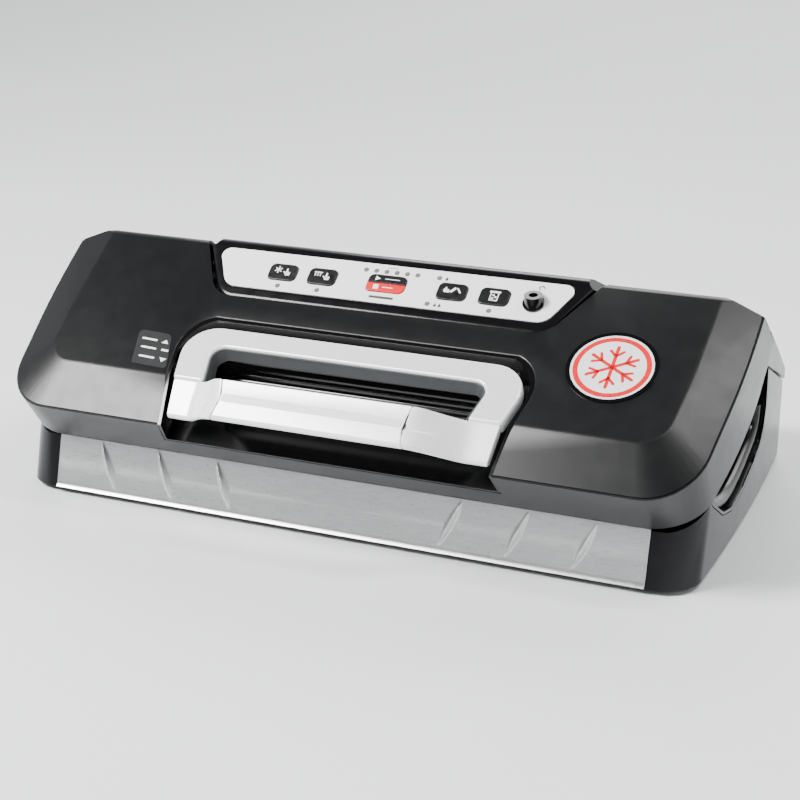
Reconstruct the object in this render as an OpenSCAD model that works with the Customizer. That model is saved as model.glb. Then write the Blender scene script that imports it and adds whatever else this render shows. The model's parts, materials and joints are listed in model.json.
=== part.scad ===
// Countertop vacuum sealer. A wedge-shaped base carries a hinged lid, a fixed control console,
// a lever handle that turns the lid's latches, and a bag cutter that slides on a rail.
// Millimetres. +X to the right, +Y to the rear, +Z up. The origin is the centre of the outer
// box, on the table. Everything is drawn with the lid shut and the handle half way.

/* [Lid] */
// Widest width of the lid
lid_width = 494; // [488:1:500]
// Height of the lid's crest
crest_z = 158.2; // [156:0.1:160]
// Place of the crest, front to back
crest_y = -7; // [-9:0.5:-5]
// Place of the crease between the lid's top and its front facet
crease_y = -114.6; // [-116:0.1:-113]
// Slope of the lid's top, degrees
top_angle = 30.6; // [30:0.1:31]
// Slope of the lid and the rear cover behind the crest, degrees
rear_angle = 32.8; // [32:0.1:33.5]
// Foremost line of the lid
nose_y = -137.5; // [-139:0.1:-136]
// Height of that line
nose_z = 67.9; // [66:0.1:69]
// Wall thickness of the plastic shells
wall = 3; // [2.4:0.1:3.4]

/* [Base] */
// Widest width of the base
base_width = 478; // [472:1:480]
// Rear face of the base
rear_y = 157.5; // [156:0.5:159]
// Height of the feet
foot_h = 3; // [2:0.5:4]
// Slope of the sealing deck, degrees
deck_angle = 18.8; // [18.5:0.1:19.1]
// Width of the steel front plate
steel_width = 414.8; // [405:0.2:418]

/* [Console] */
// Slope of the control panel, degrees
panel_angle = 36.4; // [36:0.1:37]
// Width and height of a rectangular key
key_size = [20.4, 13.4]; // [10:0.1:22]
// Travel of a key
key_travel = 0.8; // [0.4:0.1:1]
// Bore of the hose port
port_bore = 6; // [5:0.5:7]

/* [Handle and hinge] */
// Height of the lid's hinge line
hinge_z = 115; // [114.5:0.1:115.5]
// Place of the hinge line, front to back
hinge_y = 43; // [42.5:0.1:43.5]
// Radius of the hinge pins
hinge_pin_r = 3; // [2.5:0.1:3.2]
// Height of the handle's pivot line
pivot_z = 104; // [103.5:0.1:104.5]
// Place of the pivot line, front to back
pivot_y = -81; // [-81.5:0.1:-80.5]
// Radius of the handle's shafts
shaft_r = 4; // [3.5:0.1:4.2]
// Radial running clearance of pins and shafts
running_gap = 0.05; // [0.02:0.01:0.1]

/* [Hidden] */
round_fn = 64;
eps = 0.02;
black = [0.06, 0.06, 0.065];
dark = [0.16, 0.165, 0.17];
silver = [0.78, 0.79, 0.8];
copper = [0.72, 0.45, 0.2];
foam = [0.25, 0.25, 0.27];

half = lid_width / 2;
widest_y = -10.6;
side_r = 547;
top_side_r = 676;
top_half = 220;
nose_corner = 36;
top_corner = 19;
part_slope = 0.6282;
part_y = -10;
part_z = nose_z + part_slope * (part_y - nose_y);
foot_y = -116.7;
rim_gap = 2;
rim_z = 39.6;
skirt_z = rim_z + rim_gap;
skirt_in = 4;
skirt_end_y = 33;
barrel_r = 9;
barrel_half = 240;
groove = 0.6;
body_gap = 2.5;

base_half = base_width / 2;
base_mid_y = 18;
base_side_r = 2400;
base_front_y = -122;
base_corner = [26, 26];
steel_foot = [-120.7, 3.8];
steel_top = [-111, 39];
steel_t = 1;
seam_y = 50;
seam_end_z = 48.3;
cover_end_z = 52;

deck_drop = 3;
deck_t = 2.5;
inner_w = 8;
inner_t = 2.5;
bay_y = -5;
bay_z = 56;
bay_r = 33;
bay_half = 175;
chamber_half = 168;

console_front = [118, -50];
console_side = [145, crest_y];
console_under_z = 104;
console_wall_y = 32;
panel_mid = [-28.15, 146.1];
panel_high = 160;
plate_half = [117.4, 131.6];
plate_h = 31.8;
plate_w = [-0.9, 0.5];
key_x = [-76, -46.7, 46.7, 76];
start_size = [27.2, 13.8];
start_split = 0.2;
port_at = [103, -1.8];
port_tilt = 24;
lamp_r = 1.4;
lamp_places = concat([for (i = [0:5]) [-18 + 7.4 * i, 10.1]],
  [[-76.2, -11.6], [-46.9, -11.6], [75.4, -11.6], [34.6, 9.9], [32.8, -11.9]]);

well_front_half = 112.2;
well_rear_half = 128.8;
well_rear_y = -68.6;
well_front_y = -140;
well_floor = [[-72, 92], [-125.3, 55.7]];
well_wall = 2.2;
frame_t = [-7.5, 2.2];
hook_x = 190;
hook_t = 6;
badge_at = [167.1, 54.5];
badge_r = 26.1;

function top_z(y) = crest_z + tan(top_angle) * (y - crest_y);
function roof_z(y) = crest_z - tan(rear_angle) * (y - crest_y);
function rim(y) = rim_z + tan(deck_angle) * (y - foot_y);
function seam(y) = rim(seam_y) + (seam_end_z - rim(seam_y)) * (y - seam_y) / (rear_y - seam_y);
function bulge(w, y, mid, r) = w - pow(y - mid, 2) / (2 * r);
function unit(v) = v / norm(v);
function mirrored(p) = concat(p, [for (i = [len(p) - 1:-1:0]) [-p[i][0], p[i][1]]]);

// One corner of an outline, rounded to radius r between the points before and after it.
function fillet(a, b, c, r, n) = r == 0 ? [b] :
  let (
    u = unit(a - b),
    v = unit(c - b),
    h = acos(u * v) / 2,
    m = b + unit(u + v) * r / sin(h),
    s = b + u * r / tan(h) - m,
    e = b + v * r / tan(h) - m,
    start = atan2(s[1], s[0]),
    turn = atan2(s[0] * e[1] - s[1] * e[0], s * e)
  ) [for (i = [0:n]) m + r * [cos(start + turn * i / n), sin(start + turn * i / n)]];
function rounded(p, r, n = 6) = let (k = len(p))
  [for (i = [0:k - 1]) each fillet(p[(i + k - 1) % k], p[i], p[(i + 1) % k], r[i], n)];
function box_outline(w, h, r, n = 5) =
  rounded([[-w / 2, -h / 2], [w / 2, -h / 2], [w / 2, h / 2], [-w / 2, h / 2]], [r, r, r, r], n);

// Plan outline with gently bowed sides: half width w at mid, side radius sr, from y0 to y1.
function plan(w, mid, sr, y0, y1, r0, r1 = 0) =
  let (
    front = bulge(w, y0 + r0, mid, sr) - r0,
    back = bulge(w, y1 - r1, mid, sr) - r1,
    corner0 = r0 == 0 ? [] :
      [for (a = [-90:15:-10]) [front + r0 * cos(a), y0 + r0 + r0 * sin(a)]],
    sides = [for (i = [0:6])
      let (y = y0 + r0 + (y1 - r1 - y0 - r0) * i / 6) [bulge(w, y, mid, sr), y]],
    corner1 = r1 == 0 ? [] :
      [for (a = [15:15:90]) [back + r1 * cos(a), y1 - r1 + r1 * sin(a)]]
  ) mirrored(concat(corner0, sides, corner1));

// Sweeps a front-to-back outline, given as [y, z] points, across the width.
module across(half_x, x = 0)
  translate([x - half_x, 0, 0]) rotate([90, 0, 90]) linear_extrude(2 * half_x) children();
module upright(z0, z1) translate([0, 0, z0]) linear_extrude(z1 - z0) children();
module both_sides() {
  children();
  mirror([1, 0, 0]) children();
}
// A thin slice of a plan outline, tilted so that it passes through (y, z) at the given slope.
module slice(slope, y, z)
  multmatrix([[1, 0, 0, 0], [0, 1, 0, 0], [0, slope, 1, z - slope * y], [0, 0, 0, 1]])
    linear_extrude(eps) children();
module x_rod(y, z, r, x0, x1)
  translate([x0, y, z]) rotate([0, 90, 0]) cylinder(r = r, h = x1 - x0, $fn = round_fn);

// Local frames: +Y runs up the slope and +Z stands off the surface.
module on_deck() translate([0, foot_y, rim_z]) rotate([deck_angle, 0, 0]) children();
module on_top() translate([0, crease_y, top_z(crease_y)]) rotate([top_angle, 0, 0]) children();
module on_panel()
  translate([0, panel_mid[0], panel_mid[1]]) rotate([panel_angle, 0, 0]) children();
module slab(x0, x1, y0, y1, z0, z1)
  translate([x0, y0, z0]) cube([x1 - x0, y1 - y0, z1 - z0]);
module ring(outer, inner) difference() {
  polygon(outer);
  polygon(inner);
}

// ---- lid -------------------------------------------------------------------------------

// The lid's whole form, drawn in by t; drop lowers its bottom so that a hollow stays open.
module lid_form(t, drop) hull() {
  slice(tan(deck_angle), foot_y, skirt_z - drop)
    polygon(plan(half - skirt_in - t, widest_y, side_r, foot_y + t, skirt_end_y, nose_corner - t));
  slice(part_slope, nose_y, nose_z)
    polygon(plan(half - t, widest_y, side_r, nose_y + 1.3 * t, part_y, nose_corner - t));
  slice(-tan(rear_angle), part_y, part_z)
    polygon(plan(half - t, widest_y, side_r, part_y, hinge_y - 2, 0));
  slice(tan(top_angle), crease_y, top_z(crease_y) - t / cos(top_angle))
    polygon(plan(top_half - t / 2, widest_y, top_side_r, crease_y + t / 2, crest_y, top_corner));
  slice(-tan(rear_angle), crest_y, crest_z - t / cos(rear_angle))
    polygon(plan(top_half - t / 2, widest_y, top_side_r, crest_y, hinge_y, 0));
  x_rod(hinge_y, hinge_z, barrel_r - t, -barrel_half + t, barrel_half - t, $fn = 32);
}

module lid_shell() difference() {
  lid_form(0, 0);
  lid_form(wall, 6);
  console_column(0);
  well_volume(well_wall + 0.1);
  both_sides() x_rod(hinge_y, hinge_z, barrel_r + 3, 173.7, 198.3);
}

// Everything above the parting line when up is true, or below it by the groove.
module parting_side(up) {
  low = groove;
  front = [-200, part_z + part_slope * (-200 - part_y)];
  rear = [80, part_z - tan(rear_angle) * (80 - part_y)];
  line = up ? [front, [part_y, part_z], rear] :
    [front - [0, low], [part_y, part_z - low], rear - [0, low]];
  far = up ? 260 : 0;
  across(300) polygon(concat(line, [[80, far], [-200, far]]));
}

// Column that the console stands in, drawn in by g.
module console_column(g)
  upright(0, 300) polygon(rounded(
    [[-console_side[0] + g, 90], [-console_side[0] + g, console_side[1]],
     [-console_front[0] + g * 0.75, console_front[1] + g],
     [console_front[0] - g * 0.75, console_front[1] + g],
     [console_side[0] - g, console_side[1]], [console_side[0] - g, 90]],
    [0, 6, 20 - g, 20 - g, 6, 0]));

// The hollow that the handle works in, grown by g; it is open at the top and the front.
module well_volume(g) intersection() {
  upright(0, 200) polygon(mirrored(rounded(
    [[0, well_front_y], [well_front_half + g, well_front_y], [well_rear_half + g, well_rear_y + g],
     [0, well_rear_y + g]], [0, 0, 21, 0])));
  across(200) polygon(concat([[well_rear_y + g, 200]], [
    [well_floor[0][0] + 1.5 + g, well_floor[0][1] - g],
    [well_floor[1][0], well_floor[1][1] - g - 0.5],
    [well_front_y, well_floor[1][1] - g - 10.5], [well_front_y, 200]]));
}

module lid_cover() color(black) intersection() {
  lid_shell();
  parting_side(true);
}

module lid_frame() color(dark) intersection() {
  lid_shell();
  parting_side(false);
}

module inner_plan(t)
  polygon(plan(half - skirt_in - t, widest_y, side_r, foot_y + t, skirt_end_y - 1, nose_corner - t));

module lid_inner_plate() color(dark) difference() {
  intersection() {
    upright(0, 200) inner_plan(wall + 0.6);
    on_deck() slab(-half, half, 0, 180, inner_w, inner_w + inner_t);
  }
  console_column(-body_gap);
  both_sides() slab(hook_x - 7, hook_x + 7, -112, -60, 30, 90);
}

module handle_well() color(black) difference() {
  intersection() {
    well_volume(well_wall);
    lid_form(0.2, 0);
  }
  well_volume(0);
  both_sides() x_rod(pivot_y, pivot_z, shaft_r + 0.4, 100, 140);
}

module bracket(x) difference() {
  across(3, x) polygon([for (y = [-88, -74]) [y, rim(y) + inner_top()],
    for (y = [-74, -88]) [y, top_z(y) - wall / cos(top_angle) - 0.4]]);
  x_rod(pivot_y, pivot_z, shaft_r + running_gap, x - 5, x + 5);
}
function inner_top() = (inner_w + inner_t) / cos(deck_angle);

module pivot_brackets() color(dark) both_sides() {
  bracket(146);
  bracket(202);
}

module chamber_ring(w0, w1) on_deck() translate([0, 46, w0])
  linear_extrude(w1 - w0) ring(box_outline(2 * chamber_half, 32, 12),
    box_outline(2 * chamber_half - 12, 20, 6));

module upper_gasket() color(foam) chamber_ring(1.2, inner_w);

module pressure_strip() color([0.75, 0.2, 0.15]) on_deck()
  translate([0, 18, 0.7]) linear_extrude(inner_w - 0.7) polygon(box_outline(344, 7, 1));

module hinge_barrels() color(dark) both_sides() for (x = [158, 198.2])
  difference() {
    union() {
      x_rod(hinge_y, hinge_z, barrel_r - wall - 0.1, x, x + 15.8);
      slab(x, x + 15.8, 20, hinge_y, hinge_z - 5, hinge_z + 5);
    }
    x_rod(hinge_y, hinge_z, hinge_pin_r + running_gap, x - 1, x + 17);
  }

module badge_disc() color([0.85, 0.85, 0.85]) on_top()
  translate([badge_at[0], badge_at[1], 2 * eps]) cylinder(r = badge_r, h = 0.5, $fn = round_fn);

module badge_ring() color(black) on_top() translate([badge_at[0], badge_at[1], 2 * eps])
  difference() {
    cylinder(r = badge_r + 2.6, h = 0.7, $fn = round_fn);
    translate([0, 0, -1]) cylinder(r = badge_r, h = 3, $fn = round_fn);
  }

module label_plate() color(dark) on_top() translate([0, 0, 2 * eps]) linear_extrude(0.3)
  polygon(rounded([[-149.5, 6], [-122.5, 4.5], [-131.5, 34], [-156.5, 35]], [2, 2, 6, 3]));

module lid_screws() color(silver) on_deck() both_sides() for (at = [[150, 8], [215, 60], [208, 120]])
  translate([at[0], at[1], inner_w - 1.6]) cylinder(r = 3.2, h = 1.6, $fn = 32);

// ---- handle and latch ------------------------------------------------------------------

module handle_loop() polygon(mirrored(rounded(
  [[0, -2.6], [113.4, -2.6], [123.5, 44.4], [0, 44.4]], [0, 0, 22, 0])));
module handle_hole() polygon(mirrored(rounded(
  [[0, -4], [91, -4], [97.5, 28], [0, 28]], [0, 0, 9, 0])));

module handle_frame() color(silver) difference() {
  union() {
    on_top() translate([0, 0, frame_t[0]]) linear_extrude(frame_t[1] - frame_t[0])
      difference() {
        handle_loop();
        handle_hole();
      }
    both_sides() x_rod(pivot_y, pivot_z, 7.5, 104, 114);
  }
  both_sides() x_rod(pivot_y, pivot_z, shaft_r, 108, 130);
}

// Sections of the grip as [y, z] points: the bar in the middle and the flat ends.
bar_section = [[-139.5, 106.9], [-145, 100], [-150.5, 96], [-157.3, 89], [-157.5, 85.6],
  [-151.5, 84.5], [-137.5, 98.5]];
end_section = [[-117.3, 93.4], [-125, 84.5], [-132.4, 74.4], [-130.6, 71.4], [-125.5, 72],
  [-114.2, 85.5]];

module grip_flare() hull() {
  across(1, 59) polygon(bar_section);
  across(1, 96) polygon(end_section);
}

module handle_grip() color(silver) {
  across(60) polygon(bar_section);
  both_sides() {
    intersection() {
      grip_flare();
      slab(60, 95, -160, -100, 60, 120);
    }
    across(8.5, 103.5) polygon(end_section);
  }
}

module pivot_shafts() color(silver) both_sides()
  x_rod(pivot_y, pivot_z, shaft_r, 108, 207);

// Arm that hangs from each shaft, with a nose that turns rearward under the catch.
hook_arm = [[-87, 104], [-75, 104], [-77.5, 50], [-77.5, 45.5], [-72, 43.2], [-72, 38.5],
  [-86, 38.5], [-86, 50]];
module latch_hooks() color(dark) both_sides() difference() {
  union() {
    across(hook_t / 2, hook_x) polygon(hook_arm);
    x_rod(pivot_y, pivot_z, shaft_r + 2, hook_x - 5.5, hook_x + 5.5);
  }
  x_rod(pivot_y, pivot_z, shaft_r, hook_x - 8, hook_x + 8);
}

module latch_catches() color(silver) both_sides() {
  x_rod(-66, 48.4, 2.5, hook_x - 6, hook_x + 6);
  for (x = [hook_x - 7.5, hook_x + 7.5])
    across(1.5, x) polygon([[-70, 42], [-61, 42], [-61, deck_under(-61)], [-70, deck_under(-70)]]);
}
function deck_under(y) = rim(y) - (deck_drop + deck_t) / cos(deck_angle);

// ---- base ------------------------------------------------------------------------------

module base_plan(t)
  polygon(plan(base_half - t, base_mid_y, base_side_r, base_front_y + t, rear_y - t,
    base_corner[0] - t, base_corner[1] - t));

lean = (steel_top[0] - steel_foot[0]) / (steel_top[1] - steel_foot[1]);
function front_y(z) = steel_foot[0] + steel_t + lean * (z - steel_foot[1]);
rim_front_z = rim(-111);
module base_profile() across(300) polygon([
  [front_y(0), 0], [front_y(rim_front_z), rim_front_z],
  [seam_y, rim(seam_y)], [rear_y + 1, seam_end_z], [rear_y + 1, 0]]);

// Hand hold in each side of the base: an outline seen from the side, cut in towards the middle.
hand_outline = [[-84, 66], [-79, 48], [-50, 31], [-28, 26], [0, 28.5], [30, 34.8], [50, 41.5],
  [60, 50], [64.5, 64], [62, 95], [40, 110]];
hand_in = 216;
cup_wall = 2.2;
module hand_hold(g) both_sides() translate([hand_in - g, 0, 0])
  rotate([90, 0, 90]) linear_extrude(60)
    polygon([for (p = rounded(hand_outline, [0, 4, 14, 14, 20, 14, 14, 14, 10, 0, 0]))
      unit(p - [0, 60]) * g + p]);

module base_block() intersection() {
  upright(foot_h, 120) base_plan(0);
  base_profile();
}

module base_shell() color(black) difference() {
  base_block();
  intersection() {
    upright(-1, 130) base_plan(wall);
    across(300) polygon([[front_y(-1) + wall, -1], [front_y(130) + wall, 130],
      [rear_y, 130], [rear_y, -1]]);
  }
  hand_hold(cup_wall);
  slab(-196, -172, rear_y - 10, rear_y + 2, 14, 34);
}

module hand_cups() color(black) difference() {
  intersection() {
    hand_hold(cup_wall);
    base_block();
  }
  hand_hold(0);
}

module bottom_plate() color(black) intersection() {
  upright(foot_h, foot_h + 2.5) base_plan(wall + 0.3);
  across(300) polygon([for (z = [0, 10]) [front_y(10) + wall + 0.3, z], [200, 10], [200, 0]]);
}

module front_plate() color(silver) across(steel_width / 2) polygon([
  steel_foot, steel_top, steel_top + [steel_t, 0], steel_foot + [steel_t, 0]]);

module deck() color(dark) difference() {
  union() {
    intersection() {
      on_deck() slab(-base_half, base_half, 4, 180, -deck_drop - deck_t, -deck_drop);
      upright(0, 200) base_plan(wall + 0.4);
      across(300) polygon([[-105, 0], [console_wall_y, 0], [console_wall_y, 200], [-105, 200]]);
    }
    x_rod(bay_y, bay_z, bay_r + 2.2, -bay_half - 2.2, bay_half + 2.2);
  }
  x_rod(bay_y, bay_z, bay_r, -bay_half, bay_half);
  slab(-bay_half, bay_half, bay_y - bay_r, bay_y + bay_r, bay_z, 130);
  across(300) polygon([[-200, rim(-200) - deck_drop / cos(deck_angle)],
    [200, rim(200) - deck_drop / cos(deck_angle)], [-200, 300]]);
  on_deck() slab(-chamber_half + 5.9, chamber_half - 5.9, 35.9, 56.1, -12, 5);
  both_sides() slab(hook_x - 6, hook_x + 6, -112, -58, 20, 90);
  hand_hold(cup_wall + 0.3);
}

module seal_bar_holder() color([0.75, 0.72, 0.66]) on_deck()
  slab(-173, 173, 12, 24, -deck_drop, -0.6);
module heating_strip() color(copper) on_deck() slab(-171, 171, 17, 19, -0.6, -0.3);
module nonstick_tape() color([0.45, 0.33, 0.2]) on_deck() difference() {
  slab(-172, 172, 13, 23, -0.6, -0.1);
  slab(-171, 171, 17, 19, -1, -0.3);
}
module lower_gasket() color(foam) chamber_ring(-deck_drop, 0.7);

module drip_tray() color(black) on_deck() difference() {
  translate([0, 46, -11.5]) linear_extrude(10) polygon(box_outline(323.6, 19.8, 5.8));
  translate([0, 46, -10]) linear_extrude(20) polygon(box_outline(319, 15.2, 3.6));
  translate([120, 46, -20]) cylinder(r = 2.5, h = 15, $fn = 32);
}

module cutter_rail() color(silver) on_deck() difference() {
  slab(-176, 176, 66, 73, -deck_drop, 0);
  slab(-172, 172, 68.5, 70.5, -2, 1);
}
module cutter_carriage() color([0.8, 0.3, 0.15]) on_deck() {
  translate([0, 69.5, 0.3]) linear_extrude(4.6) polygon(box_outline(22, 9, 3));
  slab(-4, 4, 68.8, 70.2, -1.6, 0.3);
}
module cutter_blade() color(silver) on_deck()
  translate([0, 74.6, 0.5]) linear_extrude(0.6) polygon([[-6, -0.6], [6, -0.6], [0, 4]]);

// ---- rear cover and console --------------------------------------------------------------

module console_side_view(g) across(200) polygon([
  [console_front[1] + body_gap + g, console_under_z + g],
  [console_front[1] + body_gap + g, panel_line(console_front[1] + body_gap + g) - g * 1.24],
  [panel_mid[0] + 18.8, panel_high - g * 1.2], [seam_y + 14, roof_z(seam_y + 14) - g * 1.2],
  [seam_y + 14, 96], [console_wall_y + g, 96], [console_wall_y + g, console_under_z + g]]);
// The console seen from the front: its ends slope off at the top, clear of the lid's sweep.
module console_end_view(g) rotate([90, 0, 0]) linear_extrude(400, center = true)
  polygon(mirrored([[0, panel_high + 1], [131.2 - g * 0.4, panel_high + 1],
    [142.6 - g * 0.4, 149.6], [160, 149.6], [160, 0], [0, 0]]));
function panel_line(y) = panel_mid[1] + tan(panel_angle) * (y - panel_mid[0]);

trough_r = barrel_r + 2;
module rear_side_view(g) across(300) difference() {
  polygon([[seam_y - 6 + g, rim(seam_y) - 3], [hinge_y + 5.5 + g, 104.5],
    [hinge_y + 5.5 + g, roof_z(hinge_y + 5.5) - g],
    [138, 64.5 - g * 1.2], [rear_y - g, cover_end_z - g], [rear_y - g, seam_end_z - 40],
    [seam_y + 14, seam_end_z - 40]]);
  translate([hinge_y, hinge_z]) circle(r = trough_r + g, $fn = round_fn);
}

module above_seam() across(300) polygon([[0, rim(seam_y) + 0.3], [seam_y, rim(seam_y) + 0.3],
  [rear_y + 5, seam_end_z + 0.3], [rear_y + 5, 300], [0, 300]]);

module rear_cover() color(black) difference() {
  union() {
    intersection() {
      upright(0, 200) polygon(plan(base_half + 1.5, base_mid_y, base_side_r, 0, rear_y, 0, 30));
      rear_side_view(0);
      above_seam();
    }
    intersection() {
      console_column(body_gap);
      console_side_view(0);
      console_end_view(0);
    }
    both_sides() hinge_arm();
  }
  difference() {
    intersection() {
      upright(0, 200) polygon(plan(base_half - 1.5, base_mid_y, base_side_r, 0, rear_y - wall, 0, 27));
      rear_side_view(wall);
    }
    both_sides() slab(170, 202, 40, 62, 80, 125);
  }
  intersection() {
    console_column(body_gap + 2.5);
    console_side_view(2.5);
    console_end_view(2.5);
  }
  on_panel() slab(-112, 112, -13.4, 13.4, -30, 5);
  on_panel() translate([0, 0, plate_w[0]]) linear_extrude(4) panel_outline(0.15);
  both_sides() x_rod(hinge_y, hinge_z, hinge_pin_r, 170, 200);
}

module hinge_arm() intersection() {
  union() {
    x_rod(hinge_y, hinge_z, barrel_r, 174.2, 197.8);
    across(11.8, 186) polygon([[44, 108], [48, 121], [58, 114], [58, 96], [48, 96]]);
  }
  across(300) polygon([[0, 90], [0, 130], [hinge_y, 130], [hinge_y + 5, 122.6],
    [100, roof_z(100)], [100, 90]]);
}

module panel_outline(g) polygon(mirrored(rounded([[0, -plate_h / 2 - g],
  [plate_half[0] - 3 + g, -plate_h / 2 - g], [plate_half[1] - 1 + g, plate_h / 2 + g],
  [0, plate_h / 2 + g]], [0, 12, 6, 0])));

module key_block(at, size, g, z0, z1, r = 4)
  translate([at[0], at[1], z0]) linear_extrude(z1 - z0)
    polygon(box_outline(size[0] + 2 * g, size[1] + 2 * g, r));

module panel_plate() color(silver) on_panel() difference() {
  translate([0, 0, plate_w[0]]) linear_extrude(plate_w[1] - plate_w[0]) panel_outline(0);
  for (x = key_x) key_block([x, -0.4], key_size, 0.35, -5, 5);
  key_block([0, start_y], start_size, 0.35, -5, 5);
  for (at = lamp_places) translate([at[0], at[1], -5]) cylinder(r = lamp_r, h = 10, $fn = 24);
  slab(-8.9, 8.3, -12.3, -10.5, -5, 5);
  on_port() translate([0, 0, -10]) cylinder(r = 4.7, h = 20, $fn = round_fn);
}

module key_cap(at, size) on_panel() {
  key_block(at, size, 0, plate_w[0], 1.6);
  key_block(at, size, 0.8, -3.6, plate_w[0] - 0.6);
  key_block(at, size, -0.6, plate_w[0] - 0.6, plate_w[0]);
}
module key_left_outer() color(black) key_cap([key_x[0], -0.4], key_size);
module key_left_inner() color(black) key_cap([key_x[1], -0.4], key_size);
module key_right_inner() color(black) key_cap([key_x[2], -0.4], key_size);
module key_right_outer() color(black) key_cap([key_x[3], -0.4], key_size);
start_y = -0.1;
module half_key(y0, y1) on_panel() intersection() {
  key_block([0, start_y], start_size, 0, -3.6, 1.6);
  slab(-20, 20, y0, y1, -5, 5);
}
module key_start() color(black) half_key(start_y + start_split, start_y + 8);
module key_stop() color([0.8, 0.08, 0.08]) half_key(start_y - 8, start_y - start_split);

module indicator_lamps() color([0.7, 0.72, 0.75]) on_panel() for (at = lamp_places)
  translate([at[0], at[1], -3]) cylinder(r = lamp_r, h = 3.7, $fn = 24);
module status_bar() color([0.6, 0.62, 0.64]) on_panel() slab(-8.9, 8.3, -12.3, -10.5, -3, 0.7);

// The port stands nearly upright on the sloping panel, over a flange that lies on the plate.
module on_port() translate([port_at[0], port_at[1], 0]) rotate([-port_tilt, 0, 0]) children();
module hose_port() color(black) on_panel() difference() {
  union() {
    translate([port_at[0], port_at[1], plate_w[1]]) cylinder(r = 7.2, h = 1.3, $fn = round_fn);
    intersection() {
      on_port() translate([0, 0, -8]) cylinder(r = 6.1, h = 14.6, $fn = round_fn);
      slab(80, 120, -20, 20, plate_w[1], 20);
    }
    on_port() translate([0, 0, -6]) cylinder(r = 4.6, h = 8, $fn = round_fn);
  }
  on_port() translate([0, 0, -12]) cylinder(r = port_bore / 2, h = 30, $fn = round_fn);
}

module circuit_board() color([0.1, 0.35, 0.2]) on_panel() slab(-95, 95, -12.6, 12.6, -7.8, -6.2);
module key_switches() color(silver) on_panel() {
  for (x = key_x) slab(x - 3, x + 3, -3.4, 2.6, -6.2, -4.7);
  slab(-3, 3, 0.5, 6, -6.2, -4.7);
  slab(-3, 3, -6, -0.5, -6.2, -4.7);
}

// ---- working parts in the rear of the base -----------------------------------------------

inner_floor = foot_h + 2.5;
module transformer() color(copper) {
  slab(-150, -96, 70, 116, inner_floor, 50);
  slab(-140, -106, 64, 70, 14, 42);
}
module pump(x) {
  x_rod(92, inner_floor + 20, 18, x, x + 52);
  x_rod(92, inner_floor + 20, 13, x + 52, x + 74);
  slab(x + 6, x + 46, 76, 108, inner_floor, inner_floor + 6);
}
module pump_left() color(silver) pump(-70);
module pump_right() color(silver) pump(20);
module release_valve() color(dark) translate([130, 92, inner_floor]) {
  cylinder(r = 11, h = 30, $fn = round_fn);
  translate([0, 0, 30]) cylinder(r = 4, h = 8, $fn = 32);
}
module hose_run(a, b) {
  d = b - a;
  translate(a) rotate([0, acos(d[2] / norm(d)), atan2(d[1], d[0])])
    cylinder(r = 3.2, h = norm(d), $fn = 32);
}
module vacuum_hoses() color([0.85, 0.85, 0.8]) {
  hose_run([125, 60, 20], [125, 60, 74]);
  hose_run([-10, 68, 40], [60, 68, 40]);
}

module hinge_pins() color(silver) both_sides() x_rod(hinge_y, hinge_z, hinge_pin_r, 158, 214);

module feet() color([0.08, 0.08, 0.08]) for (x = [-190, 190], y = [-92, 128])
  translate([x, y, 0]) cylinder(r = 9, h = foot_h, $fn = round_fn);
module bottom_screws() color(silver) for (x = [-150, 0, 150], y = [-100, 135])
  translate([x, y, foot_h - 1.4]) cylinder(r = 3.2, h = 1.4, $fn = 32);

module power_inlet() color(black) difference() {
  slab(-195.8, -172.2, rear_y - 14, rear_y - 2.9, 14.2, 33.8);
  translate([-184, rear_y - 12, 24]) rotate([-90, 0, 0]) linear_extrude(14)
    polygon(box_outline(15, 8.4, 4.1));
}
module lid_switch() color(dark) {
  slab(150, 158, 34, 42, 72, 84);
  slab(152, 156, 37, 39, 84, 87);
}

base_shell();
hand_cups();
bottom_plate();
front_plate();
deck();
rear_cover();
panel_plate();
indicator_lamps();
status_bar();
hose_port();
circuit_board();
key_switches();
key_left_outer();
key_left_inner();
key_start();
key_stop();
key_right_inner();
key_right_outer();
transformer();
pump_left();
pump_right();
release_valve();
vacuum_hoses();
seal_bar_holder();
heating_strip();
nonstick_tape();
lower_gasket();
drip_tray();
cutter_rail();
latch_catches();
hinge_pins();
feet();
bottom_screws();
power_inlet();
lid_switch();
lid_cover();
lid_frame();
lid_inner_plate();
handle_well();
pivot_brackets();
upper_gasket();
pressure_strip();
hinge_barrels();
badge_disc();
badge_ring();
label_plate();
lid_screws();
handle_frame();
handle_grip();
pivot_shafts();
latch_hooks();
cutter_carriage();
cutter_blade();
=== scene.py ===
"""Looks of the countertop vacuum sealer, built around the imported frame. Lengths below are in
millimetres, in the frame's own axes (+X right, +Y rear, +Z up); meshes are made in metres."""

import json
import math

import bmesh
import bpy
from mathutils import Matrix, Vector


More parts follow.
